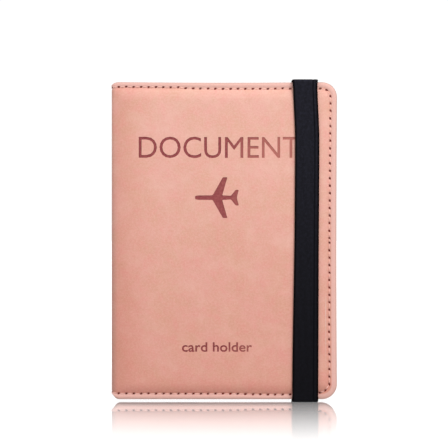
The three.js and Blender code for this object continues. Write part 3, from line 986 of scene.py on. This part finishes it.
front_holes, back_holes = (
    wander(spaced(rim(SEAM_INSET, 0.1, cover.spine_s), STITCH_PITCH)) for cover in (FRONT, BACK)
)
front_hide = ["front_leather", "front_fold_leather", "spine_leather"]
make_skin(FRONT, front_height, front_holes, TITLE + WORDS + PLANE, front_hide)
make_skin(BACK, outer_height, back_holes, [], ["back_leather", "rear_fold_leather"])
make_lining(FRONT_LINED, ["front_lining", "spine_lining"])
make_lining(BACK_LINED, ["back_lining"])
for pocket in POCKETS:
    make_pocket(pocket)

for cover, holes, height, nodes in (
    (FRONT, front_holes, front_height, ["front_seam_thread", "spine_top_thread", "spine_bottom_thread"]),
    (BACK, back_holes, outer_height, ["back_seam_thread"]),
):
    seam = make_stitches(cover.name + "_seam", cover.place, [holes], height, OUT)
    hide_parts(*nodes)
    cover.bend(seam)
    rows = [holes[holes[:, 0] > 1.5]]
    if cover is FRONT:
        card, sim = POCKETS[1].sides, POCKETS[4].sides
        hem_s = card[0] + 1.1
        hem = [[hem_s, card[2] + 5], [hem_s, card[3] - 0.4]]
        rows.append(spaced(resample(hem, 0.1), STITCH_PITCH))
        left, right, bottom, top = sim[0] + 0.9, sim[1] - 0.9, sim[2] + 0.9, sim[3] - 0.4
        around = [[left, top], [left, bottom], [right, bottom], [right, top]]
        rows.append(spaced(resample(around, 0.1), 2.6))
    name, inside = cover.name + "_inside_seam", inside_height(cover, POCKETS)
    inner = make_stitches(name, cover.place, rows, inside, IN, radius=0.22, rise=0.06)
    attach(inner, cover.body)

make_strap("strap_upper", STRAP_HIGH[2], ["strap_top_end", "strap_top_return", "strap_front"])
make_strap("strap_lower", STRAP_LOW[2], ["strap_bottom_end", "strap_bottom_return"])

for side in ("front", "back"):
    for part, look in (("foam", FOAM), ("board", BOARD)):
        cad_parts[side + "_" + part].data.materials.clear()
        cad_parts[side + "_" + part].data.materials.append(look)


# ---- Camera, light and floor ----

STUDIO_R = 8.0  # metres, as everything here is


def add_camera():
    data = bpy.data.cameras.new("camera")
    data.sensor_width = 36
    data.lens = 150
    seen = 0.2060  # width of the view at the holder's middle
    camera = in_scene("camera", data)
    height = (LOW_Z + HIGH_Z) / 2 * MM + 0.0076
    camera.location = (-0.0002, -seen * data.lens / data.sensor_width, height)
    camera.rotation_euler = (math.pi / 2, 0, 0)
    bpy.context.scene.camera = camera


def add_light(name, kind, place, target, **settings):
    data = bpy.data.lights.new(name, kind)
    for key, value in settings.items():
        setattr(data, key, value)
    light = in_scene(name, data)
    light.location = place
    light.rotation_euler = (Vector(target) - light.location).to_track_quat("-Z", "Y").to_euler()


def add_lights():
    """A large soft light from the front, above and to the right, near enough to fade towards the bottom
    left, and a weaker one from behind and the left, for the back cover and the floor."""
    size = {"shape": "RECTANGLE", "size": 0.45, "size_y": 0.35}
    add_light("key", "AREA", (0.26, -0.68, 0.62), (0, 0, 0.10), energy=5.15, color=(1, 0.99, 0.975), **size)
    add_light("fill", "SUN", (-0.35, 0.8, 0.8), (0, 0, 0), energy=1.3, angle=math.radians(60))


def add_floor():
    """A white floor that mirrors the holder right beside it, and less and less further out."""
    bm = bmesh.new()
    bmesh.ops.create_circle(bm, cap_ends=True, segments=96, radius=STUDIO_R)
    look = Look("floor", 0.5, 0.2)
    look.feed(look.shader, {"Base Color": (0.5, 0.5, 0.5, 1)})
    look.feed(look.shader, {"Emission Color": (1, 1, 1, 1), "Emission Strength": 0.58})
    beside = look.node("ShaderNodeVectorMath", {0: look.coords}, operation="ABSOLUTE").outputs["Vector"]
    footprint = (COVER_LEN / 2 * MM, COVER_T * MM, 0)
    for operation, other in (("SUBTRACT", footprint), ("MAXIMUM", (0, 0, 0))):
        found = look.node("ShaderNodeVectorMath", {0: beside, 1: other}, operation=operation)
        beside = found.outputs["Vector"]
    away = look.node("ShaderNodeVectorMath", {0: beside}, operation="LENGTH").outputs["Value"]
    fade = {"Value": away, "From Min": 0.0, "From Max": 0.20, "To Min": 0.82, "To Max": 0.0}
    shine = look.node("ShaderNodeMapRange", fade).outputs["Result"]
    mirror = look.node("ShaderNodeBsdfGlossy", {"Color": (1, 1, 1, 1), "Roughness": 0.03}).outputs["BSDF"]
    mixed = look.node("ShaderNodeMixShader", {0: shine, 1: look.shader.outputs["BSDF"], 2: mirror})
    look.links.new(mixed.outputs["Shader"], look.nodes["Material Output"].inputs["Surface"])
    floor = new_object("floor", bm, [look.material])
    floor.visible_diffuse = False


def add_dome():
    """The white studio that the camera and the glossy floor see. The world lights the holder through it."""
    bm = bmesh.new()
    bmesh.ops.create_uvsphere(bm, u_segments=64, v_segments=32, radius=STUDIO_R)
    material = bpy.data.materials.new("dome")
    material.use_nodes = True
    nodes, links = material.node_tree.nodes, material.node_tree.links
    glow = nodes.new("ShaderNodeEmission")
    glow.inputs["Strength"].default_value = 1.05
    links.new(glow.outputs["Emission"], nodes["Material Output"].inputs["Surface"])
    dome = new_object("dome", bm, [material])
    dome.visible_diffuse = False
    dome.visible_shadow = False
    dome.visible_transmission = False


def add_world():
    """Soft light from all round, strongest from above and weak from below, but for a bright patch straight
    down that lights the undersides which the floor mirrors."""
    world = bpy.data.worlds.new("studio")
    world.use_nodes = True
    nodes, links = world.node_tree.nodes, world.node_tree.links
    background = nodes["Background"]
    background.inputs["Color"].default_value = (1, 1, 1, 1)
    way = nodes.new("ShaderNodeSeparateXYZ")
    links.new(nodes.new("ShaderNodeTexCoord").outputs["Generated"], way.inputs["Vector"])
    both = nodes.new("ShaderNodeMath")
    overall = {"From Min": -1, "From Max": 1, "To Min": 0.25, "To Max": 0.84}
    underneath = {"From Min": -0.92, "From Max": -1, "To Min": 0, "To Max": 7}
    for number, settings in enumerate((overall, underneath)):
        level = nodes.new("ShaderNodeMapRange")
        for key, value in settings.items():
            level.inputs[key].default_value = value
        links.new(way.outputs["Z"], level.inputs["Value"])
        links.new(level.outputs["Result"], both.inputs[number])
    links.new(both.outputs["Value"], background.inputs["Strength"])
    bpy.context.scene.world = world


add_camera()
add_world()
add_dome()
add_floor()
add_lights()
bpy.context.scene.view_settings.view_transform = "Standard"
